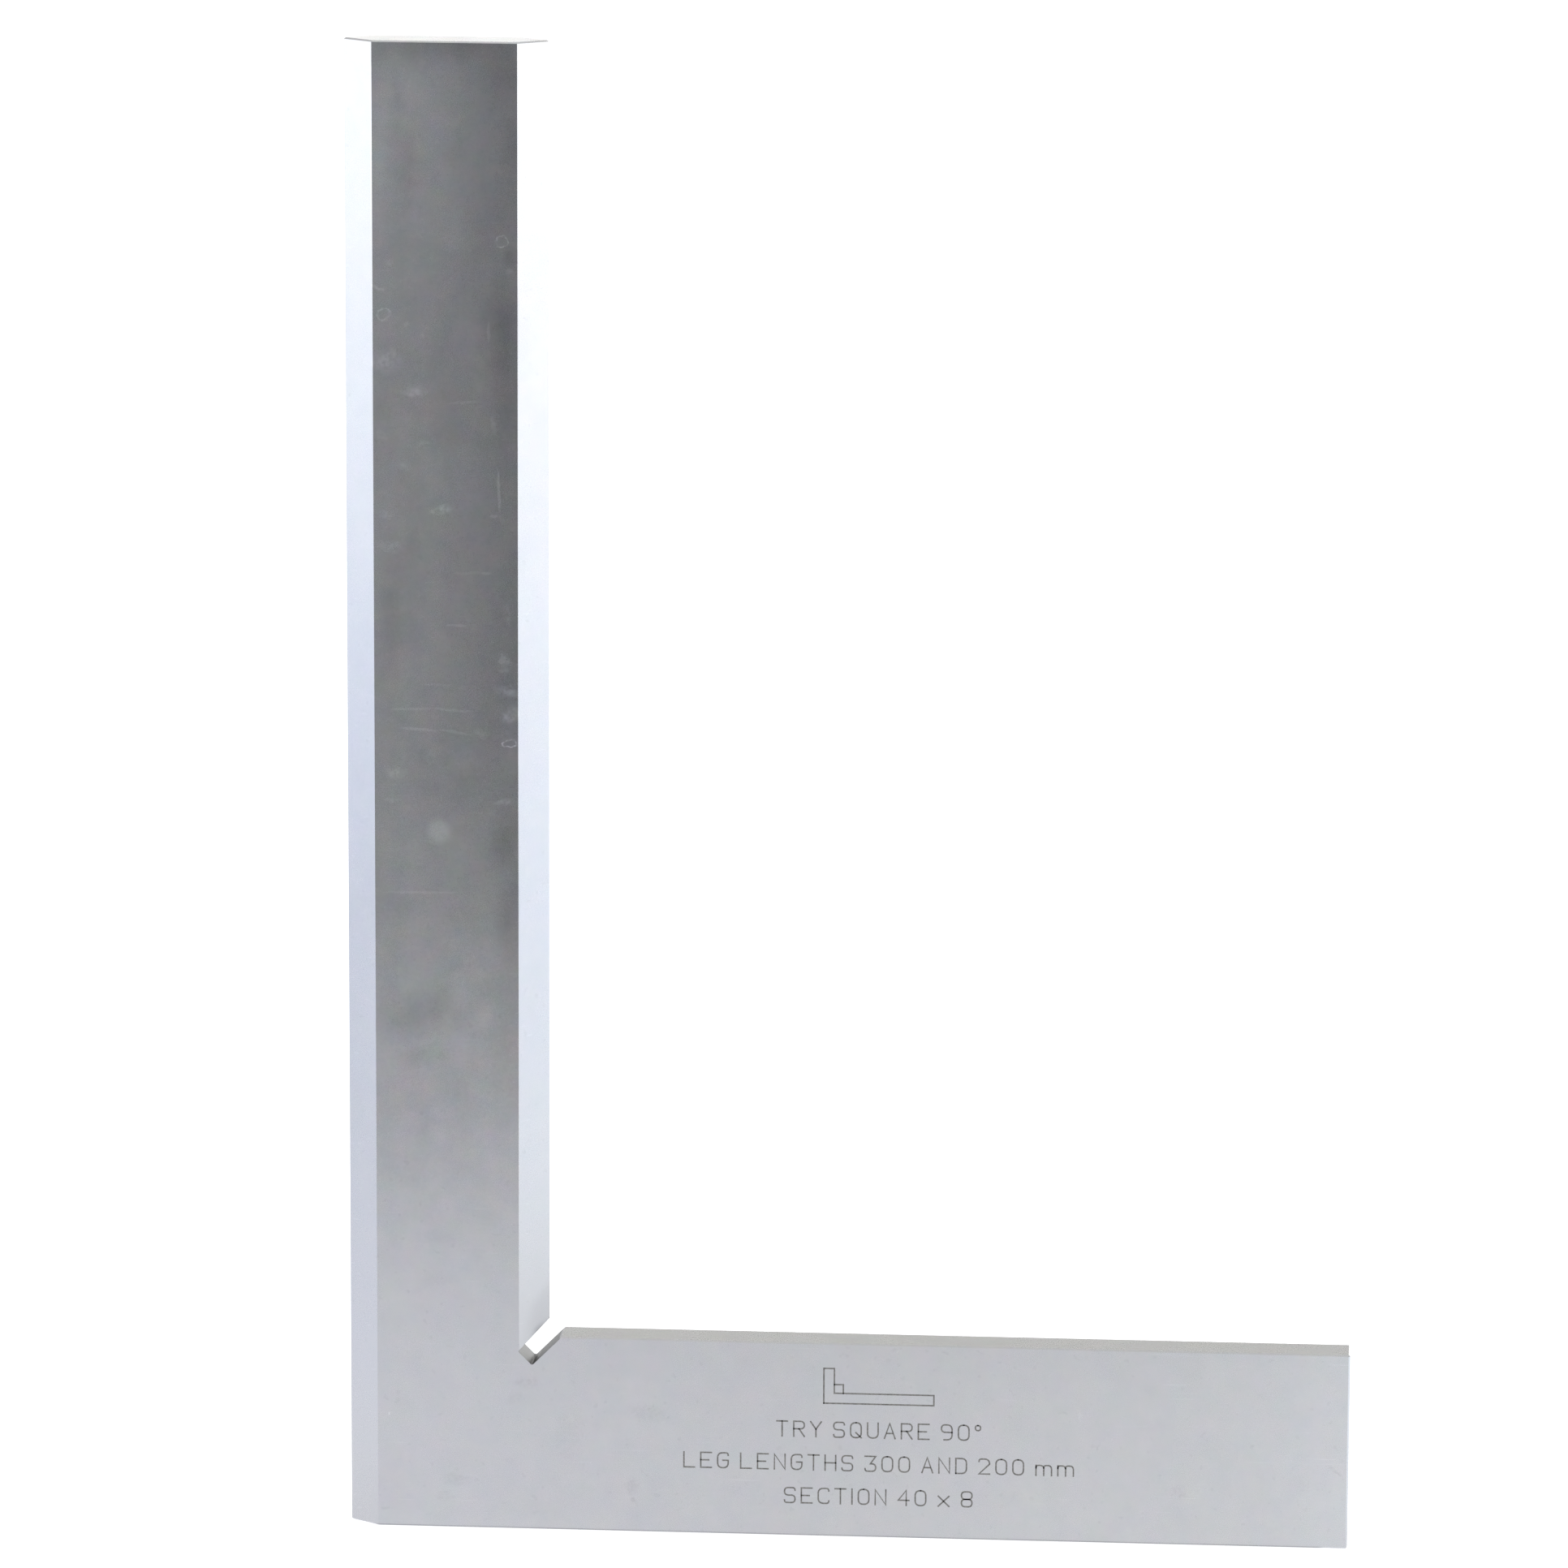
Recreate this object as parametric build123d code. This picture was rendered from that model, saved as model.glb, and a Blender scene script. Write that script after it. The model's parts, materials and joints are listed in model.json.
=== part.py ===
from build123d import *
import math
import os

# Bevelled-edge (knife-edge) engineer's square, 300 x 200 mm, ground from one piece of hardened
# stainless steel: a long upright blade and a short base that meet at 90 degrees.
#
# Frame, in millimetres: the square stands on its base. +Z runs up the blade, +X runs from the
# blade towards the free end of the base, and Y is the thickness. The origin is the middle of
# the base's length and thickness, on the surface that the square stands on.

# ---- Driving dimensions -------------------------------------------------------------------
BLADE_LENGTH = 300.0        # outer measuring length, from the standing face to the blade's top
BASE_LENGTH = 200.0         # outer measuring length, from the outer knife edge to the free end
BLADE_WIDTH = 40.0          # between the two knife edges
BASE_WIDTH = 40.0           # height of the base, between its two measuring faces
THICKNESS = 8.0
BEVEL_ANGLE = 34.0          # of each blade bevel to the mid-plane of the plate, in degrees
NOSE_RADIUS = 0.2           # of the finely rounded knife edges
SLOT_WIDTH = 4.0            # relief slot on the diagonal of the inner corner
SLOT_REACH = 6.5            # from the inner corner to the slot's square end, along the diagonal
SLOT_END_RADIUS = 0.4       # in the two corners of the slot's end
EDGE_BREAK = 0.3            # chamfer that takes the sharpness off the flat edges

# ---- Derived positions --------------------------------------------------------------------
HALF_THICKNESS = THICKNESS / 2
OUTER_X = -BASE_LENGTH / 2
INNER_X = OUTER_X + BLADE_WIDTH
FREE_END_X = BASE_LENGTH / 2

# A rounded nose sits inside the sharp point of its two bevels, so the bevels are first drawn
# to points that stand this far outside the finished knife edges.
NOSE_SETBACK = NOSE_RADIUS * (1 / math.sin(math.radians(BEVEL_ANGLE)) - 1)
BEVEL_RUN = HALF_THICKNESS / math.tan(math.radians(BEVEL_ANGLE))
BEVEL_WIDTH = BEVEL_RUN - NOSE_SETBACK

# The slot runs down the diagonal of the inner corner. The inner bevel's foot ends at the slot,
# just above the upper corner of its end, so under the blade the base stops inside the slot.
DIAGONAL = math.sqrt(0.5)
SLOT_END_CORNER_Z = BASE_WIDTH - (SLOT_REACH - SLOT_WIDTH / 2) * DIAGONAL
INSIDE_SLOT = 0.1           # how far above that corner the base stops

SMALL = 1e-4                # tolerance for telling which edges lie on a face


def blade_bar():
    """The blade: a flat bar, bevelled from both faces to a point along each long side."""
    with BuildPart() as bar:
        with BuildSketch(Plane.XY):
            with BuildLine():
                Polyline(
                    (OUTER_X - NOSE_SETBACK, 0),
                    (OUTER_X + BEVEL_WIDTH, -HALF_THICKNESS),
                    (INNER_X - BEVEL_WIDTH, -HALF_THICKNESS),
                    (INNER_X + NOSE_SETBACK, 0),
                    (INNER_X - BEVEL_WIDTH, HALF_THICKNESS),
                    (OUTER_X + BEVEL_WIDTH, HALF_THICKNESS),
                    close=True,
                )
            make_face()
        extrude(amount=BLADE_LENGTH)
    return bar.part


def base_bar():
    """The base: a bar of full thickness, whose top steps down inside the slot by the blade."""
    step_z = SLOT_END_CORNER_Z + INSIDE_SLOT
    step_x = INNER_X - (BASE_WIDTH - step_z)
    blade_middle_x = (OUTER_X + INNER_X) / 2
    with BuildPart() as bar:
        with BuildSketch(Plane.XZ):
            with BuildLine():
                Polyline(
                    (blade_middle_x, 0),
                    (FREE_END_X, 0),
                    (FREE_END_X, BASE_WIDTH),
                    (INNER_X, BASE_WIDTH),
                    (step_x, step_z),
                    (blade_middle_x, step_z),
                    close=True,
                )
            make_face()
        extrude(amount=HALF_THICKNESS, both=True)
    return bar.part


def relief_slot():
    """The cutter for the square-ended slot that frees the inner corner for a workpiece."""
    past_the_corner = SLOT_WIDTH
    with BuildPart() as cutter:
        Box(SLOT_REACH + past_the_corner, THICKNESS + 2, SLOT_WIDTH)
        end_corners = cutter.edges().filter_by(Axis.Y).sort_by(Axis.X)[:2]
        fillet(end_corners, radius=SLOT_END_RADIUS)
    middle = (past_the_corner - SLOT_REACH) / 2 * DIAGONAL
    return Pos(INNER_X + middle, 0, BASE_WIDTH + middle) * Rot(0, -45, 0) * cutter.part


def break_flat_edges(body):
    """Chamfers the edges of the four flat end and measuring faces, as the slot stays sharp."""
    flat_faces = [
        body.faces().sort_by(Axis.Z)[-1],
        body.faces().sort_by(Axis.Z)[0],
        body.faces().sort_by(Axis.X)[-1],
        body.faces().filter_by(Plane.XY).sort_by(Axis.Z)[1],
    ]
    slot_mouth_x = INNER_X + SLOT_WIDTH / 2 / DIAGONAL
    edges = ShapeList()
    for face in flat_faces:
        for edge in face.edges():
            if abs(edge.center().X - slot_mouth_x) > SMALL and edge not in edges:
                edges.append(edge)
    return chamfer(edges, EDGE_BREAK)


def round_knife_edges(body):
    """Rounds both knife edges to the fine nose that makes line contact with a workpiece."""
    knife_edges = [
        edge
        for edge in body.edges().filter_by(Axis.Z)
        if abs(edge.center().Y) < SMALL and edge.length > BASE_WIDTH
    ]
    return fillet(knife_edges, NOSE_RADIUS)


os.makedirs("parts", exist_ok=True)
square = blade_bar() + base_bar() - relief_slot()
square = break_flat_edges(square)
square = round_knife_edges(square)
export_step(square, "parts/blade_and_base.step")
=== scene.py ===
import json
import math
import bpy
from mathutils import Matrix, Vector


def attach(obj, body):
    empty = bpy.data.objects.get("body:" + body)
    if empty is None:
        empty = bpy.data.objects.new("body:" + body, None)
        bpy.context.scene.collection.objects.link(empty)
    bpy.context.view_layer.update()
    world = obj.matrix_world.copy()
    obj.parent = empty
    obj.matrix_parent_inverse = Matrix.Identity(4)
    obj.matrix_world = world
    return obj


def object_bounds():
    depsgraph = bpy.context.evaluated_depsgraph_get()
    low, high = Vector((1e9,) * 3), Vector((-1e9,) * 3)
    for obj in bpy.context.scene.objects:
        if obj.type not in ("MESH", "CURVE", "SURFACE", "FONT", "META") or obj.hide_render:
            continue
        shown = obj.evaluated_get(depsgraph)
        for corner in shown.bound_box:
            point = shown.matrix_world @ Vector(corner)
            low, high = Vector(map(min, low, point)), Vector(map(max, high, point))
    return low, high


# The looks of a one-piece steel try square. Lengths here are in metres, except in names that
# end in _MM and in the steel's shader, which works in millimetres.
MM = 0.001

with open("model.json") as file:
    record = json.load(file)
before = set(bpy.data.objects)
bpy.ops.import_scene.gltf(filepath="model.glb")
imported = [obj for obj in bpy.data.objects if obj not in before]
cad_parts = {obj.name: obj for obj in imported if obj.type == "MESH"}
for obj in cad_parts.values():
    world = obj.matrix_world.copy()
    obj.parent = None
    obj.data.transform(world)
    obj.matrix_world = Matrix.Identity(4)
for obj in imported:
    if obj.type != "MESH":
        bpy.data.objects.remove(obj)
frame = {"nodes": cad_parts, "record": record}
cad_low, cad_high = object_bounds()

scene = bpy.context.scene
scene.view_settings.view_transform = "Standard"

square = frame["nodes"]["blade_and_base"]
mounts = {mount["name"]: mount for mount in frame["record"]["mounts"]}
FACE_Y = cad_low.y                    # the marked front face, towards -Y
FACE_Y_MM = FACE_Y / MM
BASE_TOP_MM = mounts["inner_base_face"]["pos_m"][2] / MM
EDGE_BREAK_MM = 0.3                   # the chamfer around the flat faces


# ---------------------------------------------------------------- camera

CAMERA_AZIMUTH = 4.0                  # degrees, from -Y towards +X
CAMERA_ELEVATION = 12.19
CAMERA_ROLL = 0.26
CAMERA_DISTANCE = 1.862
CAMERA_LENS_MM = 216.7
SENSOR_WIDTH_MM = 36
AIM_FROM_CENTRE = Vector((-13.5, 0, 3)) * MM    # from the middle of the part's box


def make_camera():
    """A long lens from a little above and a little to the right of the front."""
    azimuth = math.radians(CAMERA_AZIMUTH)
    elevation = math.radians(CAMERA_ELEVATION)
    backwards = Vector((
        math.sin(azimuth) * math.cos(elevation),
        -math.cos(azimuth) * math.cos(elevation),
        math.sin(elevation),
    ))
    aim = (cad_low + cad_high) / 2 + AIM_FROM_CENTRE
    turn = (-backwards).to_track_quat("-Z", "Y").to_matrix()
    turn = turn @ Matrix.Rotation(math.radians(CAMERA_ROLL), 3, "Z")
    data = bpy.data.cameras.new("camera")
    data.sensor_width = SENSOR_WIDTH_MM
    data.lens = CAMERA_LENS_MM
    camera = bpy.data.objects.new("camera", data)
    camera.matrix_world = Matrix.Translation(aim + backwards * CAMERA_DISTANCE) @ turn.to_4x4()
    scene.collection.objects.link(camera)
    scene.camera = camera


# ---------------------------------------------------------------- shader node helpers

class Tree:
    """Short calls for adding linked shader nodes to one node tree."""

    def __init__(self, owner):
        owner.use_nodes = True
        self.nodes = owner.node_tree.nodes
        self.links = owner.node_tree.links

    def feed(self, socket, value):
        if isinstance(value, bpy.types.NodeSocket):
            self.links.new(value, socket)
        else:
            socket.default_value = value

    def add(self, kind, inputs=(), **settings):
        node = self.nodes.new("ShaderNode" + kind)
        for name, value in settings.items():
            setattr(node, name, value)
        for name, value in dict(inputs).items():
            self.feed(node.inputs[name], value)
        return node

    def math(self, operation, a, b=0.0):
        return self.add("Math", {0: a, 1: b}, operation=operation).outputs[0]

    def vector(self, operation, a, b=(0, 0, 0)):
        return self.add("VectorMath", {0: a, 1: b}, operation=operation).outputs[0]

    def scaled(self, a, factor):
        return self.add("VectorMath", {0: a, "Scale": factor}, operation="SCALE").outputs[0]

    def around_zero(self, value, gain):
        """A noise value, taken to be about a half, as a change of up to half the gain."""
        return self.math("MULTIPLY", self.math("SUBTRACT", value, 0.5), gain)

    def mix(self, factor, a, b):
        node = self.add("Mix", {"Factor": factor, "A": a, "B": b}, data_type="RGBA")
        return node.outputs["Result"]

    def length(self, a):
        return self.add("VectorMath", {0: a}, operation="LENGTH").outputs["Value"]

    def ramp(self, value, start, end, low=0.0, high=1.0):
        """A smooth step from low at start to high at end."""
        inputs = {"Value": value, "From Min": start, "From Max": end}
        inputs.update({"To Min": low, "To Max": high})
        return self.add("MapRange", inputs, interpolation_type="SMOOTHSTEP").outputs[0]

    def noise(self, vector, scale, detail=2.0, roughness=0.5):
        inputs = {"Vector": vector, "Scale": scale, "Detail": detail, "Roughness": roughness}
        return self.add("TexNoise", inputs)

    def axes(self, vector):
        return self.add("SeparateXYZ", {0: vector}).outputs

    def object_mm(self):
        """Object coordinates in millimetres, which are also the part's own."""
        coords = self.add("TexCoord").outputs["Object"]
        return self.scaled(coords, 1 / MM)


# ---------------------------------------------------------------- steel

# Marks, painted reflections and painted shade on the front face, read as: x, z, half length, half
# width, tilt in degrees, strength.
# A positive strength is a lighter mark, a negative one a darker one. In the slot a positive
# strength takes that share of the light away.
# Painted reflections: lighter and darker patches where the blade mirrors its bright and dim
# surroundings.
BLADE_PAINTED_REFLECTIONS = [
    (-80, 301, 18, 7, 0, -0.20),
    (-93.5, 297.5, 4, 4, 0, -0.08),
    (-68.5, 294, 8, 5.5, 90, -0.12),
    (-67, 279, 8, 2.5, 90, -0.10),
    (-67, 258, 3.5, 2.2, 90, -0.18),
    (-69, 244, 13, 6, 90, -0.22),
    (-68.5, 231, 13, 5, 90, -0.10),
    (-68.5, 172, 7, 3, 90, -0.06),
    (-68.5, 141, 8, 4, 90, -0.19),
    (-67.5, 126, 15, 4, 82, -0.12),
    (-89, 289, 5, 1.6, -70, -0.07),
    (-87, 273, 13, 1.8, 88, -0.07),
    (-91, 186, 24, 3.5, 90, -0.10),
    (-83, 158, 5, 3, 0, -0.07),
    (-86, 106, 12, 7, 20, -0.17),
    (-86, 97, 7, 3.5, 10, -0.07),
    (-82, 60, 6, 2.5, 0, -0.03),
    (-82.5, 51.5, 6, 2.5, 0, -0.03),
    (-87.5, 292, 7, 7, 0, 0.10),
    (-85, 288, 17, 12, 0, 0.10),
    (-79, 215, 11, 9, 0, 0.07),
    (-76, 158, 8, 6, 0, 0.07),
    (-93, 276, 24, 5, 90, 0.20),
    (-76.5, 263, 8, 5, 90, 0.08),
    (-88.5, 235, 10, 5, 90, -0.06),
    (-93, 226, 18, 6, 90, -0.10),
    (-83, 270, 34, 9, 88, 0.14),
    (-83, 195, 42, 4.5, 90, 0.06),
    (-73, 117.5, 11, 10, 0, 0.12),
    (-77, 110, 5, 4, 60, 0.06),
    (-73, 105, 5.5, 4, 0, 0.07),
    (-80, 100, 7, 3, 0, 0.05),
]
BLADE_SMUDGES = [
    (-91, 256.5, 1.4, 0.8, 0, 0.12),
    (-93, 251.5, 2.2, 0.7, 0, 0.16),
    (-91.5, 237, 4.5, 3.4, 10, 0.16),
    (-86, 231, 4, 1.5, 0, 0.18),
    (-92.5, 222, 2.2, 1.2, 0, 0.10),
    (-87.5, 244, 0.9, 0.8, 0, 0.16),
    (-84.5, 242, 1.1, 0.9, 0, 0.12),
    (-84.5, 221, 1.8, 0.8, 0, 0.10),
    (-67.5, 255, 1.2, 0.6, 50, 0.18),
    (-70.5, 225, 2.8, 1, 85, 0.12),
    (-88, 216, 2, 1.2, -10, 0.10),
    (-91.5, 206.5, 2.4, 1.6, 0, 0.12),
    (-81, 207.5, 3.4, 1.6, 12, 0.22),
    (-91, 200, 3, 1.7, -5, 0.14),
    (-90, 154.5, 2.8, 1.6, 0, 0.14),
    (-73, 163, 2, 1.8, 0, 0.10),
    (-91, 149, 2.4, 0.6, 0, 0.08),
    (-68.5, 177, 3.2, 2, 90, 0.18),
    (-68, 171.5, 3.4, 1.8, -10, 0.24),
    (-67.5, 166.5, 2.8, 2, 45, 0.22),
    (-68.5, 149, 3.2, 1, 10, 0.18),
    (-68, 187, 4, 1, 90, 0.08),
    (-83, 158, 2, 2, 0, 0.10),
]
BLADE_SCRATCHES = [
    (-71.5, 243, 2.5, 0.4, 90, 0.14),
    (-76.5, 229, 3.6, 0.3, 3, 0.10),
    (-69.5, 211.5, 5, 0.35, -87, 0.26),
    (-70.5, 206.5, 1, 0.4, 0, 0.20),
    (-75.5, 195, 3.8, 0.35, 3, 0.09),
    (-72, 195, 1.2, 0.4, 5, 0.16),
    (-78, 184.5, 2.4, 0.35, 0, 0.16),
    (-81.5, 172.5, 3.4, 0.3, 0, 0.10),
    (-87, 167.5, 5, 0.35, 2, 0.13),
    (-78.5, 167.5, 5, 0.35, -4, 0.15),
    (-85.5, 163.5, 4.6, 0.4, -4, 0.15),
    (-78, 163, 4, 0.4, -9, 0.13),
    (-85, 130.5, 9, 0.3, 1, 0.10),
]
BLADE_SPOTS = [
    (-81.5, 143, 3.3, 3.3, 0, 0.26),
]
BLADE_RINGS = [
    (-92, 246, 1.3, 1.1, 0, 0.18),
    (-69, 261, 1.2, 0.9, 0, 0.26),
    (-67.5, 161, 1.3, 0.8, 0, 0.36),
]
BASE_SMUDGES = [
    (-64, 30.5, 3.4, 1.6, 0, -0.05),
    (-66.5, 27, 2.6, 1.8, 30, -0.03),
    (-40, 24.5, 5.5, 2.4, -10, -0.03),
    (-55.5, 20, 8, 4, 90, -0.02),
    (-78.5, 10, 4, 1.8, 5, -0.04),
    (-81, 6.5, 2.2, 1.6, 0, -0.03),
    (-43, 9.5, 2.6, 1.8, 90, -0.05),
    (-43, 6.5, 0.7, 0.7, 0, -0.12),
    (66.5, 11, 2.4, 2, 0, -0.04),
    (97.5, 16, 1.8, 0.4, -37, -0.06),
    (-92, 23.5, 0.4, 0.4, 0, 0.20),
    (46.5, 26, 2, 0.6, 90, 0.04),
]
# A painted reflection: the darker patch low on the bevel, where it mirrors the base's top.
BEVEL_PAINTED_REFLECTION = [
    (-61, 46, 8, 3, 62, -0.08),
]
# Painted shade on the slot's milled walls, which are also made rougher.
SLOT_WALL_SHADE = [
    (-62, 38, 7, 6, 45, 0.46),
    (-59.8, 37.2, 3.4, 1.7, 45, 0.22),
]
# Painted shade with some dirt, darker still, in the slot's lower corner.
SLOT_CORNER_SHADE_AND_DIRT = [
    (-62.6, 34.3, 1.4, 1.1, 45, 0.24),
]
RING_LINE = 0.3                       # a ring's line, as a share of its radius

SMUDGE_WAVE_MM = 2.4                  # how far the outlines of smudges wander
LINE_WAVE_MM = 0.8                    # and those of scratches and spots
GRAIN_GAIN = 0.14
CLOUD_GAIN = 0.17
BLOTCH_GAIN = 0.15
TINT_GAIN = 0.2
HAIRLINE_GAIN = 0.05
SPECKLE_GAIN = -0.04
BASE_UNEVENNESS = 0.4                 # the base's share of the blade's unevenness
BEVEL_UNEVENNESS = 0.35               # and the bevels' share
EVEN_UNTIL_MM = BASE_TOP_MM - 10      # the height where the blade's unevenness sets in
UNEVEN_FROM_MM = BASE_TOP_MM + 70     # and where it is full
STEEL_COLOUR = (0.58, 0.583, 0.59)
STEEL_ROUGHNESS = 0.27
CLOUD_ROUGHNESS = 0.08                # what the finish, smudges and dull walls change in it
GRAIN_ROUGHNESS = 0.05
SMUDGE_ROUGHNESS = 0.15
DULL_ROUGHNESS = 0.35
HAIRLINE_LEVEL = (0.70, 0.80)         # where a noise turns into a cut, a speck or a patch
SPECKLE_LEVEL = (0.76, 0.84)
PATCHY_LEVEL = (0.32, 0.68)
PATCHY_GAIN = (0.2, 1.8)              # smudges are broken up between these shares of strength
HAIRLINE_RELIEF = -0.3                # next to the grain's 1
BUMP_STRENGTH = 0.1
BUMP_DEPTH = 0.01 * MM
FACE_TOLERANCE_MM = 0.02
FLAT_TO_BEVEL_X = (0.2, 0.5)          # the X of the normal, from the flat faces to the bevels
CROSSWISE_LIMIT = 0.3                 # with less of its normal along Y, a face is cut through
SLANT_LIMIT = 0.4                     # the product of X and Z in the normal is 0.5 at 45 degrees
NUDGE = (0.1, 0, 0.1)


def marks(tree, place, rows, core=0.35, ring=False):
    """The summed strength of soft elliptical marks on the X-Z plane."""
    total = 0.0
    for x, z, half_length, half_width, tilt, strength in rows:
        # Mapping turns about +Y, which takes +Z towards +X, so a tilt from +X is negative.
        local = tree.add("Mapping", {
            "Vector": place,
            "Location": (x, 0, z),
            "Rotation": (0, -math.radians(tilt), 0),
            "Scale": (half_length, 1, half_width),
        }, vector_type="TEXTURE").outputs[0]
        distance = tree.length(local)
        if ring:
            offset = tree.math("ABSOLUTE", tree.math("SUBTRACT", distance, 1.0))
            mark = tree.ramp(offset, 0.0, RING_LINE, strength, 0.0)
        else:
            mark = tree.ramp(distance, core, 1.0, strength, 0.0)
        total = tree.math("ADD", mark, total)
    return total


def after(tree, place, total):
    """The same place, nudged a hair by an earlier layer of marks.

    A shader can hold only so many values at once, and this makes it finish that layer first.
    """
    nudged = tree.add("VectorMath", {0: NUDGE, 1: total, 2: place}, operation="MULTIPLY_ADD")
    return nudged.outputs[0]


def painted_reflections_and_marks(tree, place, wavy, steady):
    """Painted reflections on the front and what handling has left there: the whole change of
    tone, and the smudges alone.
    """
    # The first layer is the painted reflections.
    painted_reflections = marks(tree, wavy, BLADE_PAINTED_REFLECTIONS, core=0.0)
    scratches = marks(tree, after(tree, steady, painted_reflections), BLADE_SCRATCHES, core=0.6)
    rings = marks(tree, after(tree, wavy, scratches), BLADE_RINGS, ring=True)
    blade_smudges = marks(tree, after(tree, wavy, rings), BLADE_SMUDGES, core=0.1)
    base_smudges = marks(tree, after(tree, wavy, blade_smudges), BASE_SMUDGES)
    spots = marks(tree, steady, BLADE_SPOTS, core=0.3)
    aside = tree.vector("ADD", place, (5, 2, 23))
    mottle = tree.noise(aside, scale=1.1, detail=3, roughness=0.7).outputs["Fac"]
    patchy = tree.ramp(mottle, *PATCHY_LEVEL, *PATCHY_GAIN)
    smudges = tree.math("ADD", rings, tree.math("ADD", blade_smudges, base_smudges))
    smudges = tree.math("MULTIPLY", smudges, patchy)
    tone = tree.math("ADD", tree.math("ADD", painted_reflections, spots), tree.math("ADD", smudges, scratches))
    return tone, smudges


def slot_shade_and_dullness(tree, steady, z, facing):
    """The light that the slot's walls lose: painted shade on their milled faces, and painted
    shade with dirt in the lower corner.

    They are told from the faces around them by their slant, or by lying below the base's top.
    """
    crosswise = tree.math("LESS_THAN", tree.math("ABSOLUTE", facing["Y"]), CROSSWISE_LIMIT)
    slant = tree.math("ABSOLUTE", tree.math("MULTIPLY", facing["X"], facing["Z"]))
    slanted = tree.math("GREATER_THAN", slant, SLANT_LIMIT)
    sunk = tree.math("LESS_THAN", z, BASE_TOP_MM - EDGE_BREAK_MM)
    in_slot = tree.math("MULTIPLY", crosswise, tree.math("MAXIMUM", slanted, sunk))
    milled_and_shaded = marks(tree, steady, SLOT_WALL_SHADE, core=0.8)
    corner_shade_and_dirt = marks(tree, steady, SLOT_CORNER_SHADE_AND_DIRT, core=0.15)
    return tree.math("MULTIPLY", tree.math("ADD", milled_and_shaded, corner_shade_and_dirt), in_slot)


def steel_material():
    """Finely ground steel: even grain, soft clouds, handling marks, painted reflections, painted
    shade in the slot and dirt in its corner.
    """
    material = bpy.data.materials.new("ground_steel_finish")
    tree = Tree(material)
    shader = tree.nodes["Principled BSDF"]
    place = tree.object_mm()
    _, y, z = tree.axes(place)

    # Marks are drawn on the plane of the front face, with outlines that wander a little.
    wave = tree.noise(place, scale=0.45, detail=3, roughness=0.6).outputs["Color"]
    wave = tree.vector("SUBTRACT", wave, (0.5, 0.5, 0.5))
    wavy = tree.vector("ADD", place, tree.scaled(wave, SMUDGE_WAVE_MM))
    wavy = tree.vector("MULTIPLY", wavy, (1, 0, 1))
    steady = tree.vector("ADD", place, tree.scaled(wave, LINE_WAVE_MM))
    steady = tree.vector("MULTIPLY", steady, (1, 0, 1))
    on_front = tree.ramp(y, FACE_Y_MM + FACE_TOLERANCE_MM, FACE_Y_MM + EDGE_BREAK_MM, 1.0, 0.0)

    # The ground finish: fine grain, wide clouds that are taller than wide, blotches, faint cuts
    # along X, and specks. The noises are stretched or moved aside, so that none repeats another.
    tall = tree.vector("MULTIPLY", place, (1, 1, 0.4))
    drawn_out = tree.vector("MULTIPLY", place, (0.12, 1, 3.4))
    blotch_place = tree.vector("ADD", place, (31, 7, 11))
    speck_place = tree.vector("ADD", place, (3, 19, 5))
    grain = tree.noise(place, scale=1.6, detail=3, roughness=0.65).outputs["Fac"]
    cloud = tree.noise(tall, scale=0.09, detail=3).outputs["Fac"]
    blotches = tree.noise(blotch_place, scale=0.22, detail=3, roughness=0.6).outputs
    cut = tree.noise(drawn_out, scale=0.55, detail=1).outputs["Fac"]
    hairline = tree.ramp(cut, *HAIRLINE_LEVEL)
    specks = tree.noise(speck_place, scale=0.9, detail=0).outputs["Fac"]
    speckle = tree.ramp(specks, *SPECKLE_LEVEL)

    # The front's painted reflections, with its smudges, scratches, rings and spot.
    front_reflections_and_marks, smudges = painted_reflections_and_marks(tree, place, wavy, steady)
    front_reflections_and_marks = tree.math("MULTIPLY", front_reflections_and_marks, on_front)
    on_bevel = tree.math("SUBTRACT", 1.0, on_front)
    # Painted reflection on the bevel.
    bevel_painted_reflection = tree.math("MULTIPLY", marks(tree, steady, BEVEL_PAINTED_REFLECTION, core=0.2), on_bevel)

    # The blade has been handled more than the base, so its finish is less even. The bevels
    # are lapped, so theirs is more even.
    texture = 0.0
    for value, gain in ((grain, GRAIN_GAIN), (cloud, CLOUD_GAIN), (blotches["Fac"], BLOTCH_GAIN)):
        texture = tree.math("ADD", texture, tree.around_zero(value, gain))
    facing = tree.axes(tree.add("NewGeometry").outputs["Normal"])
    blade_or_base = tree.ramp(z, EVEN_UNTIL_MM, UNEVEN_FROM_MM, BASE_UNEVENNESS, 1.0)
    sideways = tree.math("ABSOLUTE", facing["X"])
    flat_or_bevel = tree.ramp(sideways, *FLAT_TO_BEVEL_X, 1.0, BEVEL_UNEVENNESS)
    uneven = tree.math("MULTIPLY", blade_or_base, flat_or_bevel)
    texture = tree.math("MULTIPLY", texture, uneven)
    # Painted reflections on the front and the bevel, added with the handling marks.
    all_reflections_and_marks = tree.math("ADD", front_reflections_and_marks, bevel_painted_reflection)
    tone = tree.math("ADD", tree.math("ADD", 1.0, texture), all_reflections_and_marks)
    tone = tree.math("ADD", tone, tree.math("MULTIPLY", hairline, HAIRLINE_GAIN))
    tone = tree.math("ADD", tone, tree.math("MULTIPLY", speckle, SPECKLE_GAIN))
    # Painted shade in the slot: its walls are darkened there, and made rougher.
    dull_and_shaded = slot_shade_and_dullness(tree, steady, z, facing)
    tone = tree.math("MULTIPLY", tone, tree.math("SUBTRACT", 1.0, dull_and_shaded))

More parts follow.
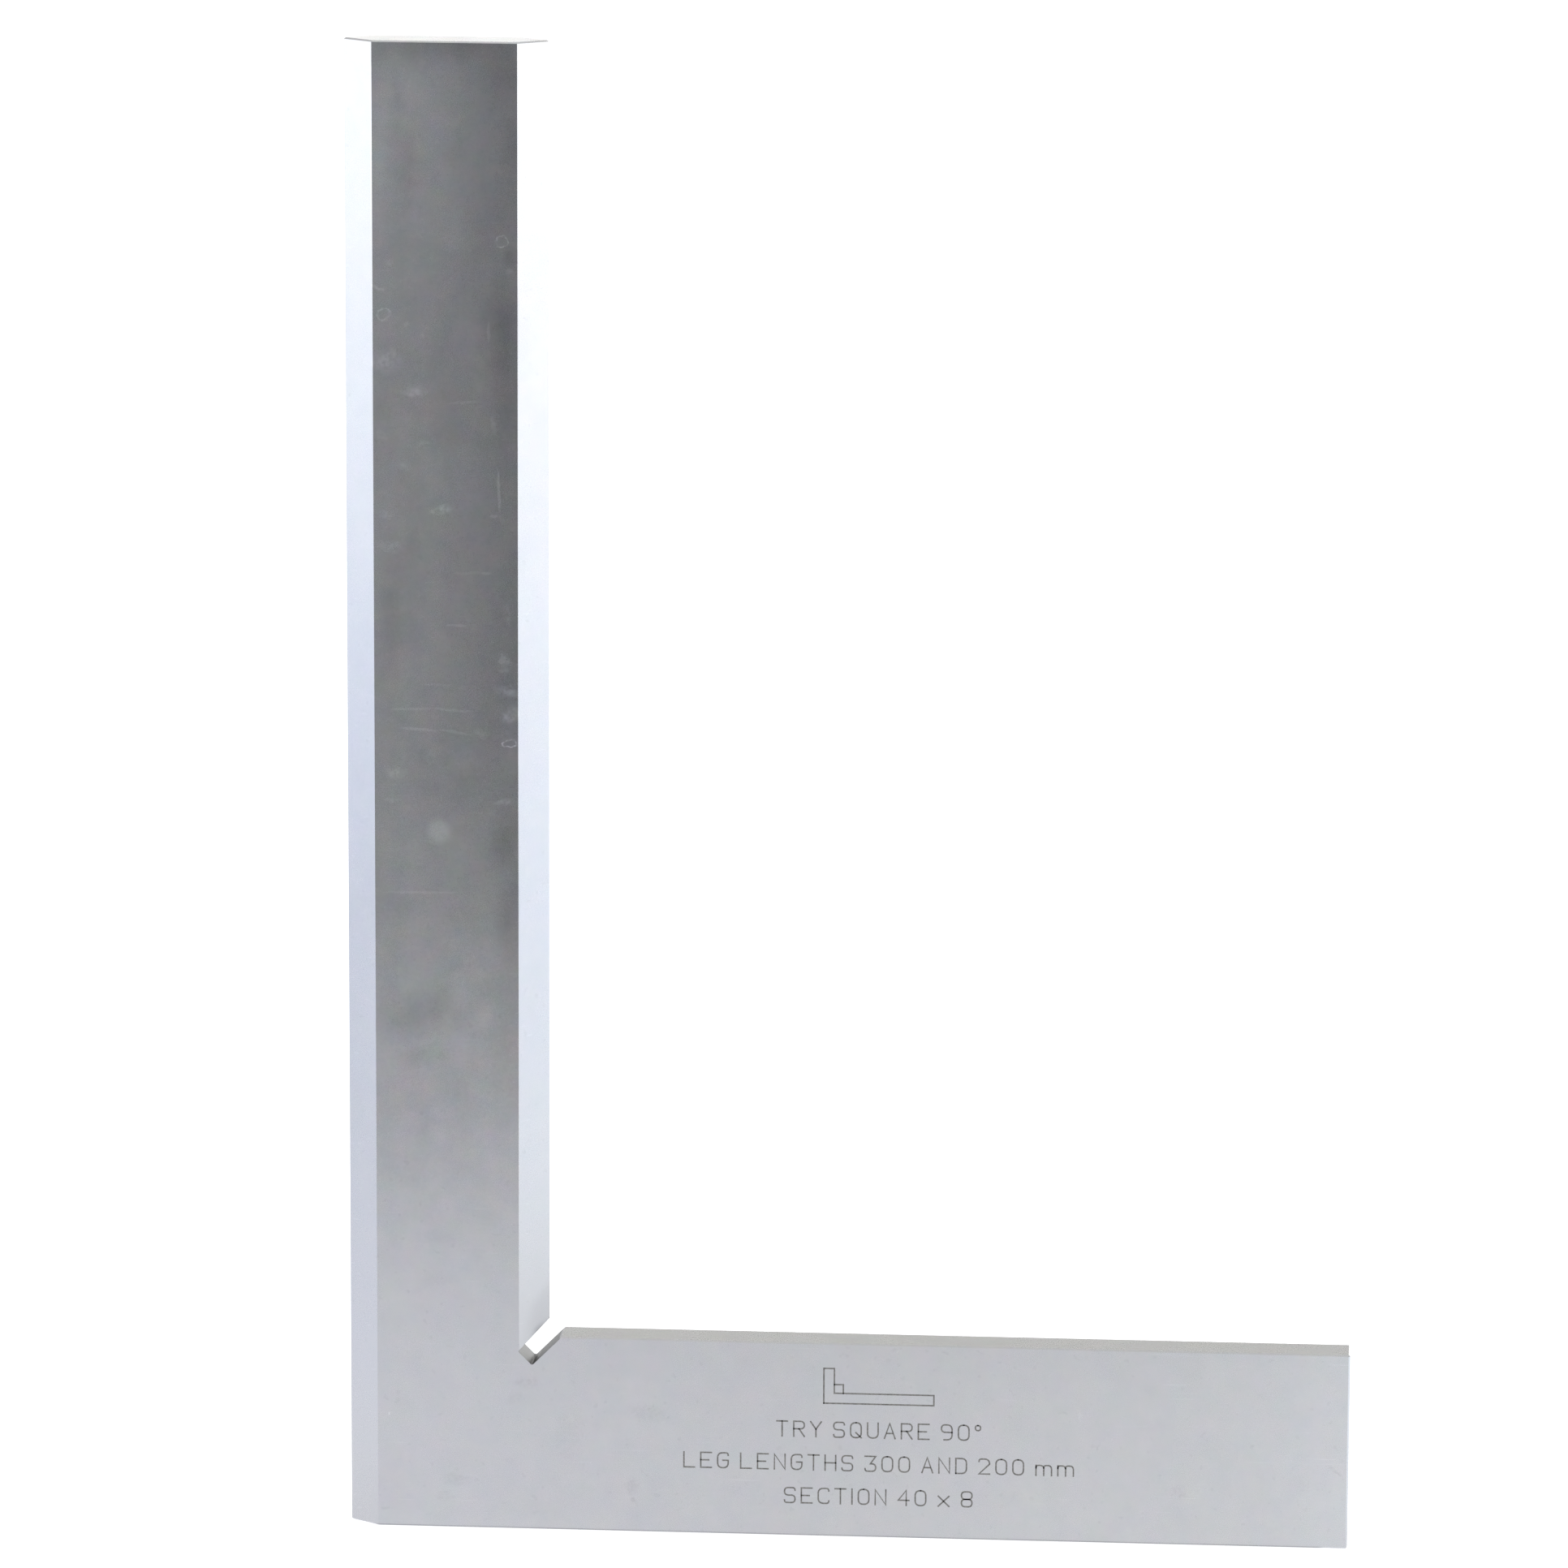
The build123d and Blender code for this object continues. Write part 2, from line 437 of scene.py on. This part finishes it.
    tint = tree.vector("SUBTRACT", blotches["Color"], (0.5, 0.5, 0.5))
    tint = tree.scaled(tint, tree.math("MULTIPLY", uneven, TINT_GAIN))
    tint = tree.vector("ADD", tint, (1, 1, 1))
    colour = tree.vector("MULTIPLY", tree.scaled(STEEL_COLOUR, tone), tint)
    tree.feed(shader.inputs["Base Color"], colour)
    shader.inputs["Metallic"].default_value = 1.0

    smudged = tree.math("ABSOLUTE", smudges)
    rough = tree.math("ADD", STEEL_ROUGHNESS, tree.around_zero(cloud, CLOUD_ROUGHNESS))
    rough = tree.math("ADD", rough, tree.around_zero(grain, GRAIN_ROUGHNESS))
    rough = tree.math("ADD", rough, tree.math("MULTIPLY", smudged, SMUDGE_ROUGHNESS))
    rough = tree.math("ADD", rough, tree.math("MULTIPLY", dull_and_shaded, DULL_ROUGHNESS))
    tree.feed(shader.inputs["Roughness"], rough)

    relief = tree.math("ADD", grain, tree.math("MULTIPLY", hairline, HAIRLINE_RELIEF))
    bump = tree.add("Bump", {"Height": relief, "Strength": BUMP_STRENGTH, "Distance": BUMP_DEPTH})
    tree.feed(shader.inputs["Normal"], bump.outputs[0])
    return material


# ---------------------------------------------------------------- etched marks

STROKE_WIDTH = 0.30 * MM
ETCH_PROUD = 0.012 * MM               # so that the etched bars don't fight with the face
ETCH_SUNK = 0.02 * MM
ETCH_CENTRE = 6.3 * MM                # the X that the sign and the lines are centred on
CAP_HEIGHT = 3.1 * MM
ETCH_COLOUR = (0.23, 0.225, 0.215)
ETCH_LEVEL = (0.3, 0.7)               # over this range of a noise, both vary between these
ETCH_TONE = (0.7, 1.3)
ETCH_ROUGHNESS = (0.5, 0.7)
ETCH_METALLIC = 0.7
LINES = (                             # name of the piece, text, height of its foot
    ("etched_name", "TRY SQUARE 90*", 20.6 * MM),
    ("etched_size", "LEG LENGTHS 300 AND 200 mm", 13.7 * MM),
    ("etched_section", "SECTION 40 x 8", 6.8 * MM),
)
SIGN_FOOT = 27.6 * MM
SIGN_LENGTH = 22 * MM
SIGN_HEIGHT = 7.2 * MM
SIGN_ARM = 2.1 * MM                   # the width of both of its legs
SIGN_ANGLE = 1.8 * MM                 # the side of its right-angle mark

# Plain single-stroke letters on a grid 4 wide and 6 high. A point is its two grid digits,
# and an r after it rounds that corner. The star stands for the degree sign.
GRID_WIDTH = 4
GLYPH_HEIGHT = 6
GLYPH_WIDTH = 4.1                     # what a letter 4 wide is stretched to
OTHER_WIDTHS = {"I": 0, "*": 2, "m": 6}
LETTER_GAP = 2.45
WORD_GAP = 2.4
CORNER_RADIUS = 2.0                   # grid units, or less where a stroke is short
CORNER_STEPS = 6
GLYPHS = {
    "A": ("00 26 40", "12 32"),
    "C": ("45 46r 06r 00r 40r 41",),
    "D": ("00 06 46r 40r 00",),
    "E": ("46 06 00 40", "03 33"),
    "G": ("45 46r 06r 00r 40r 43 23",),
    "H": ("00 06", "40 46", "03 43"),
    "I": ("00 06",),
    "L": ("06 00 40",),
    "N": ("00 06 40 46",),
    "O": ("26 46r 40r 00r 06r 26",),
    "Q": ("26 46r 40r 00r 06r 26", "22 40"),
    "R": ("00 06 46r 43r 03", "23 40"),
    "S": ("45 46r 06r 03r 43r 40r 00r 01",),
    "T": ("06 46", "26 20"),
    "U": ("06 00r 40r 46",),
    "Y": ("06 23 46", "23 20"),
    "m": ("00 04", "03 04r 34r 30", "33 34r 64r 60"),
    "x": ("00 44", "04 40"),
    "0": ("26 46r 40r 00r 06r 26",),
    "2": ("05 06r 46r 44 00 40",),
    "3": ("06 46 23 43r 40r 00r 01",),
    "4": ("30 36 02 42",),
    "8": ("23 43r 40r 00r 03r 23 43r 46r 06r 03r 23",),
    "9": ("43 03r 06r 46r 40r 10",),
    "*": ("16 26r 24r 04r 06r 16",),
}
SAME_POINT = 1e-7
LEAST_MITRE = 0.5                     # keeps the outside of a sharp bend from running away


def rounded(points):
    """A polyline whose corners are rounded where a point asks for it."""
    path = []
    for i, (point, is_round) in enumerate(points):
        if not is_round:
            path.append(point)
            continue
        neighbours = (points[i - 1], points[i + 1])
        legs = [other - point for other, _ in neighbours]
        room = [leg.length / (1 + shared) for leg, (_, shared) in zip(legs, neighbours)]
        reach = min(CORNER_RADIUS, *room)
        start, end = [point + leg.normalized() * reach for leg in legs]
        for step in range(CORNER_STEPS + 1):
            t = step / CORNER_STEPS
            path.append(start.lerp(point, t).lerp(point.lerp(end, t), t))
    return path


def glyph_paths(letter):
    """The strokes of one letter, in grid units."""
    for stroke in GLYPHS[letter]:
        yield rounded([(Vector((int(p[0]), int(p[1]))), p.endswith("r")) for p in stroke.split()])


def ribbon(vertices, faces, path, width):
    """Adds one flat closed bar along a path on the front face, with square ends."""
    points = [p for i, p in enumerate(path) if i == 0 or (p - path[i - 1]).length > SAME_POINT]
    first = len(vertices)
    count = len(points)
    for i, point in enumerate(points):
        ahead = (points[min(i + 1, count - 1)] - point).normalized()
        behind = (point - points[max(i - 1, 0)]).normalized()
        along = (ahead + behind).normalized()
        side = Vector((-along.y, along.x))
        bend = max(LEAST_MITRE, along.dot(ahead if i + 1 < count else behind))
        if i == 0:
            point = point - along * width / 2
        if i == count - 1:
            point = point + along * width / 2
        for lift in (-ETCH_PROUD, ETCH_SUNK):
            for hand in (1, -1):
                edge = point + side * hand * width / 2 / bend
                vertices.append((edge.x, FACE_Y + lift, edge.y))
    for i in range(count - 1):
        a = first + 4 * i
        for j, k in ((0, 1), (1, 3), (3, 2), (2, 0)):
            faces.append((a + j, a + k, a + 4 + k, a + 4 + j))
    faces.append((first, first + 2, first + 3, first + 1))
    last = first + 4 * (count - 1)
    faces.append((last, last + 1, last + 3, last + 2))


def etched_piece(name, paths, material):
    """One piece of etched bars, which moves with the square."""
    vertices, faces = [], []
    for path in paths:
        ribbon(vertices, faces, path, STROKE_WIDTH)
    mesh = bpy.data.meshes.new(name)
    mesh.from_pydata(vertices, [], faces)
    mesh.materials.append(material)
    mesh.validate()
    piece = bpy.data.objects.new(name, mesh)
    scene.collection.objects.link(piece)
    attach(piece, "root")


def text_paths(text, centre_x, foot_z, cap_height):
    """The strokes of one centred line of text."""
    unit = cap_height / GLYPH_HEIGHT
    normal_stretch = Vector((GLYPH_WIDTH / GRID_WIDTH, 1))
    advance = 0.0
    paths = []
    for letter in text:
        if letter == " ":
            advance += WORD_GAP
            continue
        stretch = Vector((1, 1)) if letter in OTHER_WIDTHS else normal_stretch
        for path in glyph_paths(letter):
            paths.append([Vector((advance, 0)) + point * stretch for point in path])
        advance += OTHER_WIDTHS.get(letter, GLYPH_WIDTH) + LETTER_GAP
    left = centre_x - (advance - LETTER_GAP) * unit / 2
    for path in paths:
        yield [Vector((left, foot_z)) + point * unit for point in path]


def pictogram_paths(centre_x, foot_z):
    """A plain sign: the outline of a square lying on its long leg, its right angle marked."""
    left = centre_x - SIGN_LENGTH / 2
    inner = SIGN_ARM + SIGN_ANGLE
    outline = (
        (0, 0),
        (SIGN_LENGTH, 0),
        (SIGN_LENGTH, SIGN_ARM),
        (SIGN_ARM, SIGN_ARM),
        (SIGN_ARM, SIGN_HEIGHT),
        (0, SIGN_HEIGHT),
        (0, 0),
    )
    angle = ((SIGN_ARM, inner), (inner, inner), (inner, SIGN_ARM))
    for path in (outline, angle):
        yield [Vector((left + x, foot_z + z)) for x, z in path]


def etch_material():
    """Marks etched matt and dark into the steel, a little uneven."""
    material = bpy.data.materials.new("etched_dark_steel")
    tree = Tree(material)
    shader = tree.nodes["Principled BSDF"]
    uneven = tree.noise(tree.object_mm(), scale=2.2).outputs["Fac"]
    tone = tree.ramp(uneven, *ETCH_LEVEL, *ETCH_TONE)
    tree.feed(shader.inputs["Base Color"], tree.scaled(ETCH_COLOUR, tone))
    tree.feed(shader.inputs["Roughness"], tree.ramp(uneven, *ETCH_LEVEL, *ETCH_ROUGHNESS))
    shader.inputs["Metallic"].default_value = ETCH_METALLIC
    return material


def make_etched_marks():
    material = etch_material()
    etched_piece("etched_angle_sign", pictogram_paths(ETCH_CENTRE, SIGN_FOOT), material)
    for name, text, foot_z in LINES:
        etched_piece(name, text_paths(text, ETCH_CENTRE, foot_z, CAP_HEIGHT), material)


# ---------------------------------------------------------------- floor and surroundings

FLOOR_HALF = 6.0
FLOOR_Z = cad_low.z - 0.1 * MM
FLOOR_COLOUR = (0.86, 0.865, 0.87, 1)
FLOOR_GLOW_COLOUR = (0.98, 0.99, 1.0, 1)
FLOOR_GLOW = 0.7

# The world, as the steel mirrors it. Limits in y and z are parts of a direction of length 1.
HORIZON = (2.3, 2.3, 2.27, 1)
WALL = (0.495, 0.49, 0.47, 1)
CEILING = (0.98, 0.98, 0.98, 1)
DIM = (0.385, 0.39, 0.40, 1)          # the room behind the lens
WHITE = (1.0, 1.0, 1.0, 1)            # and all that the lens sees of the world
HORIZON_TO_WALL_Z = (0.155, 0.215)
WALL_TO_CEILING_Z = (0.5, 0.9)
DIM_SIDE_Y = (-0.95, -0.75)
DIM_SIDE_Z = (0.2, 0.5)

# What the steel mirrors of the white table is a plane of its own. Its light changes across
# the table, read as: x, colour. In front of the lens it is dim, with soft edges in x and y.
TABLE_HALF = 2.5
TABLE_LIGHT = (
    (-2.0, (1.75, 1.80, 1.85)),
    (-1.4, (1.42, 1.54, 1.72)),
    (-1.1, (1.13, 1.25, 1.565)),
    (-0.7, (0.90, 0.96, 1.175)),
    (-0.4, (0.925, 0.97, 1.10)),
    (-0.22, (1.03, 1.055, 1.18)),
    (-0.15, (1.04, 1.06, 1.14)),
    (-0.1, (0.985, 0.995, 1.065)),
    (0.0, (0.97, 0.977, 1.02)),
    (0.09, (1.03, 1.045, 1.085)),
    (0.14, (1.31, 1.37, 1.46)),
    (0.32, (1.27, 1.355, 1.50)),
    (0.5, (1.30, 1.415, 1.66)),
    (0.82, (1.50, 1.62, 1.84)),
    (0.9, (1.72, 1.76, 1.86)),
    (1.15, (1.90, 1.92, 1.97)),
    (1.6, (2.00, 2.00, 2.00)),
)
TABLE_LIGHT_SCALE = 2.0               # a colour ramp stops at 1, so it holds half of the light
DIM_FROM_Y = (-0.35, -0.23)
DIM_HALF_WIDTH = (0.42, 0.5)
DIM_CENTRE_X = -0.1
FAR_Y = (-1.4, -0.8)                  # past it the dim part is a little lighter again
FAR_GAIN = 1.15
REAR_Y = (0.12, 0.7)                  # behind the square, where the rear face takes its grey from
REAR_GAIN = 0.6
SHADOW_HALF_LENGTH = cad_high.x - 6 * MM    # it stops short of the bevel at the outer edge
SHADOW_REACH = 1.5 * MM
SHADOW_DEPTH = 0.65

FLAG_X = (-0.13, 0.12)
FLAG_Y = -0.16
FLAG_Z = (0.05, 0.42)
FLAG_COLOUR = (1.0, 1.0, 1.05, 1)
FLAG_EDGE_MM = (-102.0, -52.0)        # it fades in from left to right
FLAG_LEAN = 0.08                      # that edge's lean to the left, for each step up
FLAG_FOOT_MM = (62.0, 112.0)          # and from below upwards
FLAG_GLOW_MM = (120.0, 220.0)
FLAG_GLOW = (0.093, 0.157)


def stage_mesh(name, corners, material):
    """One flat four-cornered surface that isn't part of the object."""
    mesh = bpy.data.meshes.new(name)
    mesh.from_pydata(corners, [], [(0, 1, 2, 3)])
    mesh.materials.append(material)
    piece = bpy.data.objects.new(name, mesh)
    scene.collection.objects.link(piece)
    return piece


def level_corners(half):
    """The corners of a level square that reaches this far each way, at the floor's height."""
    signs = ((-1, -1), (1, -1), (1, 1), (-1, 1))
    return [(x * half, y * half, FLOOR_Z) for x, y in signs]


def seen_in_reflections_only(piece):
    """Hides a piece from the lens, from diffuse light and from shadows."""
    piece.visible_camera = False
    piece.visible_diffuse = False
    piece.visible_shadow = False


def floor_material():
    """White paper that glows a little, so that it burns out."""
    material = bpy.data.materials.new("floor_white")
    shader = Tree(material).nodes["Principled BSDF"]
    shader.inputs["Base Color"].default_value = FLOOR_COLOUR
    shader.inputs["Roughness"].default_value = 1.0
    shader.inputs["Specular IOR Level"].default_value = 0.0
    shader.inputs["Emission Color"].default_value = FLOOR_GLOW_COLOUR
    shader.inputs["Emission Strength"].default_value = FLOOR_GLOW
    return material


def reflected_table_material():
    """What the steel mirrors of the table: lit from both sides, dim in front of the lens."""
    material = bpy.data.materials.new("table_light")
    tree = Tree(material)
    x, y, _ = tree.axes(tree.add("TexCoord").outputs["Object"])
    across = tree.add("MapRange", {"Value": x, "From Min": -TABLE_HALF, "From Max": TABLE_HALF})
    gradient = tree.add("ValToRGB", {"Fac": across.outputs[0]})
    stops = gradient.color_ramp.elements
    while len(stops) < len(TABLE_LIGHT):
        stops.new(0.5)
    for stop, (place, colour) in zip(stops, TABLE_LIGHT):
        stop.position = 0.5 + place / (2 * TABLE_HALF)
        stop.color = [channel / TABLE_LIGHT_SCALE for channel in colour] + [1]
    light = tree.scaled(gradient.outputs["Color"], TABLE_LIGHT_SCALE)
    in_front = tree.ramp(y, *DIM_FROM_Y, 1.0, 0.0)
    from_middle = tree.math("ABSOLUTE", tree.math("SUBTRACT", x, DIM_CENTRE_X))
    in_middle = tree.ramp(from_middle, *DIM_HALF_WIDTH, 1.0, 0.0)
    dim = tree.scaled(DIM[:3], tree.ramp(y, *FAR_Y, FAR_GAIN, 1.0))
    colour = tree.mix(tree.math("MULTIPLY", in_front, in_middle), light, dim)

    # The table is in shadow right under the square, which the lower edge breaks mirror.
    beside_x = tree.math("SUBTRACT", tree.math("ABSOLUTE", x), SHADOW_HALF_LENGTH)
    beside_y = tree.math("SUBTRACT", tree.math("ABSOLUTE", y), cad_high.y)
    beside = tree.math("MAXIMUM", beside_x, beside_y)
    shadow = tree.ramp(beside, 0.0, SHADOW_REACH, SHADOW_DEPTH, 1.0)
    strength = tree.math("MULTIPLY", shadow, tree.ramp(y, *REAR_Y, 1.0, REAR_GAIN))
    emission = tree.add("Emission", {"Color": colour, "Strength": strength})
    tree.feed(tree.nodes["Material Output"].inputs["Surface"], emission.outputs[0])
    return material


def make_floor():
    """The floor that the lens sees, and in its place the table that the steel mirrors."""
    floor = stage_mesh("floor", level_corners(FLOOR_HALF), floor_material())
    floor.visible_glossy = False
    table = stage_mesh("table_reflection", level_corners(TABLE_HALF), reflected_table_material())
    seen_in_reflections_only(table)


def make_surroundings():
    """A bright room with a dim side behind the lens; the lens itself sees plain white."""
    world = bpy.data.worlds.new("studio")
    scene.world = world
    tree = Tree(world)
    _, y, z = tree.axes(tree.add("TexCoord").outputs["Generated"])
    room = tree.mix(tree.ramp(z, *HORIZON_TO_WALL_Z), HORIZON, WALL)
    room = tree.mix(tree.ramp(z, *WALL_TO_CEILING_Z), room, CEILING)
    behind_lens = tree.ramp(y, *DIM_SIDE_Y, 1.0, 0.0)
    low_down = tree.ramp(z, *DIM_SIDE_Z, 1.0, 0.0)
    room = tree.mix(tree.math("MULTIPLY", behind_lens, low_down), room, DIM)
    seen = tree.mix(tree.add("LightPath").outputs["Is Camera Ray"], room, WHITE)
    tree.feed(tree.nodes["Background"].inputs["Color"], seen)


def make_flag():
    """A soft-edged dark flag close to the blade, which the blade's inner half mirrors."""
    material = bpy.data.materials.new("flag_dark")
    tree = Tree(material)
    x, _, z = tree.axes(tree.object_mm())
    slope = tree.math("ADD", x, tree.math("MULTIPLY", z, FLAG_LEAN))
    cover = tree.math("MULTIPLY", tree.ramp(slope, *FLAG_EDGE_MM), tree.ramp(z, *FLAG_FOOT_MM))
    glow = tree.ramp(z, *FLAG_GLOW_MM, *FLAG_GLOW)
    dark = tree.add("Emission", {"Color": FLAG_COLOUR, "Strength": glow})
    blend = tree.add("MixShader", {
        0: cover,
        1: tree.add("BsdfTransparent").outputs[0],
        2: dark.outputs[0],
    })
    tree.feed(tree.nodes["Material Output"].inputs["Surface"], blend.outputs[0])
    left, right = FLAG_X
    low, high = FLAG_Z
    outline = ((left, low), (right, low), (right, high), (left, high))
    corners = [(x, FLAG_Y, z) for x, z in outline]
    seen_in_reflections_only(stage_mesh("flag", corners, material))


make_camera()
make_floor()
make_surroundings()
make_flag()

steel = steel_material()
for slot in square.material_slots:
    slot.material = steel
make_etched_marks()
